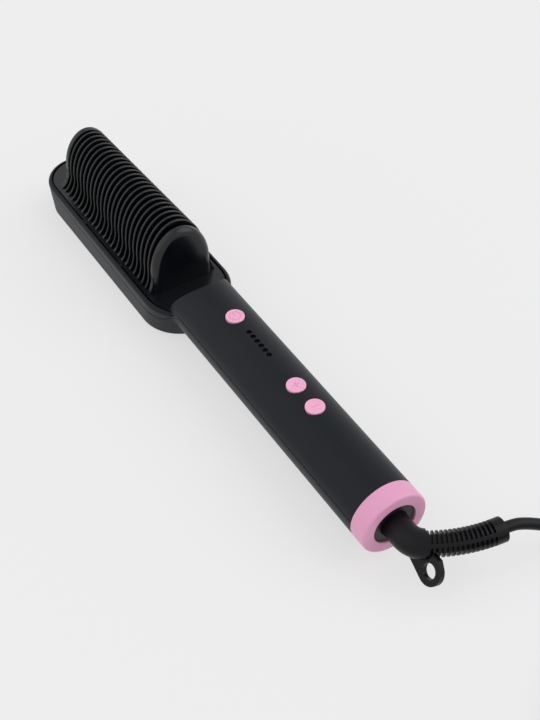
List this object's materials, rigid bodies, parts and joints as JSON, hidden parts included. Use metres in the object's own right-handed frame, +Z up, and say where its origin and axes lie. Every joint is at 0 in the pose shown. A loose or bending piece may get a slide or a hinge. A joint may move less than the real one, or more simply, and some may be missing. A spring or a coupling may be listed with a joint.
{
  "type": "hair straightening comb",
  "caption": "Electric hair straightening comb with a domed heated comb head, round handle with push buttons, tail ring and turning mains cord.",
  "frame": {"origin": "on the floor under the middle of the body, from the head's far end to the tail ring's back", "axes": "+X along the body from comb head to tail, +Z up out of the comb's back of teeth, +Y to the left"},
  "size_m": [0.4526, 0.1027, 0.0526],
  "materials": {
    "soft_touch_black": "moulded, soft-touch matt",
    "comb_black": "moulded heat-resistant plastic, satin",
    "heater_coat": "cast aluminium, dark ceramic coat",
    "ceramic_white": "fired alumina",
    "mica_sheet": "pressed mica",
    "spring_steel": "bent strip",
    "screw_steel": "zinc plated",
    "probe_metal": "drawn can",
    "board_green": "solder mask on glass laminate",
    "switch_black": "moulded resin",
    "plunger_grey": "moulded",
    "button_pink": "moulded, satin",
    "led_white": "clear resin",
    "guide_clear": "smoked clear moulding",
    "capacitor_yellow": "moulded box",
    "terminal_green": "moulded",
    "wire_red": "silicone sleeve",
    "ring_pink": "moulded, satin",
    "insert_black": "moulded",
    "contact_brass": "stamped and turned",
    "cord_black": "soft satin PVC",
    "pin_nickel": "nickel plated"
  },
  "bodies": {
    "root": {"upper_shell": "soft_touch_black", "lower_shell": "soft_touch_black", "comb_guard": "comb_black", "heater_plate": "heater_coat", "heater_element": "ceramic_white", "insulation_sheet": "mica_sheet", "heater_clamp": "spring_steel", "heater_screws": "screw_steel", "thermal_fuse": "probe_metal", "temperature_sensor": "probe_metal", "control_board": "board_green", "board_screws": "screw_steel", "power_switch": "switch_black", "plus_switch": "switch_black", "minus_switch": "switch_black", "indicator_leds": "led_white", "light_guide": "guide_clear", "control_chip": "switch_black", "power_triac": "switch_black", "supply_capacitor": "capacitor_yellow", "terminal_block": "terminal_green", "heater_wires": "wire_red", "supply_wires": "wire_red", "tail_ring": "ring_pink", "swivel_housing_upper": "insert_black", "swivel_housing_lower": "insert_black", "contact_springs": "contact_brass", "case_screws": "screw_steel"},
    "cord_swivel": {"strain_relief": "cord_black", "slip_rings": "contact_brass", "cord_lead": "cord_black", "cord_coil": "cord_black", "cord_tail": "cord_black", "plug_body": "cord_black", "plug_pins": "pin_nickel"},
    "power_button": {"power_button": "button_pink", "power_plunger": "plunger_grey"},
    "plus_button": {"plus_button": "button_pink", "plus_plunger": "plunger_grey"},
    "minus_button": {"minus_button": "button_pink", "minus_plunger": "plunger_grey"}
  },
  "joints": [
    {"name": "power_press", "type": "slide", "parent": "root", "child": "power_button", "axis": [0, 0, -1], "range_m": [0, 0.0005], "stiffness_N_per_m": 300},
    {"name": "plus_press", "type": "slide", "parent": "root", "child": "plus_button", "axis": [0, 0, -1], "range_m": [0, 0.0005], "stiffness_N_per_m": 300},
    {"name": "minus_press", "type": "slide", "parent": "root", "child": "minus_button", "axis": [0, 0, -1], "range_m": [0, 0.0005], "stiffness_N_per_m": 300},
    {"name": "cord_turn", "type": "hinge", "parent": "root", "child": "cord_swivel", "pos_m": [0.1345, 0, 0.0199], "axis": [1, 0, 0], "continuous": true}
  ]
}
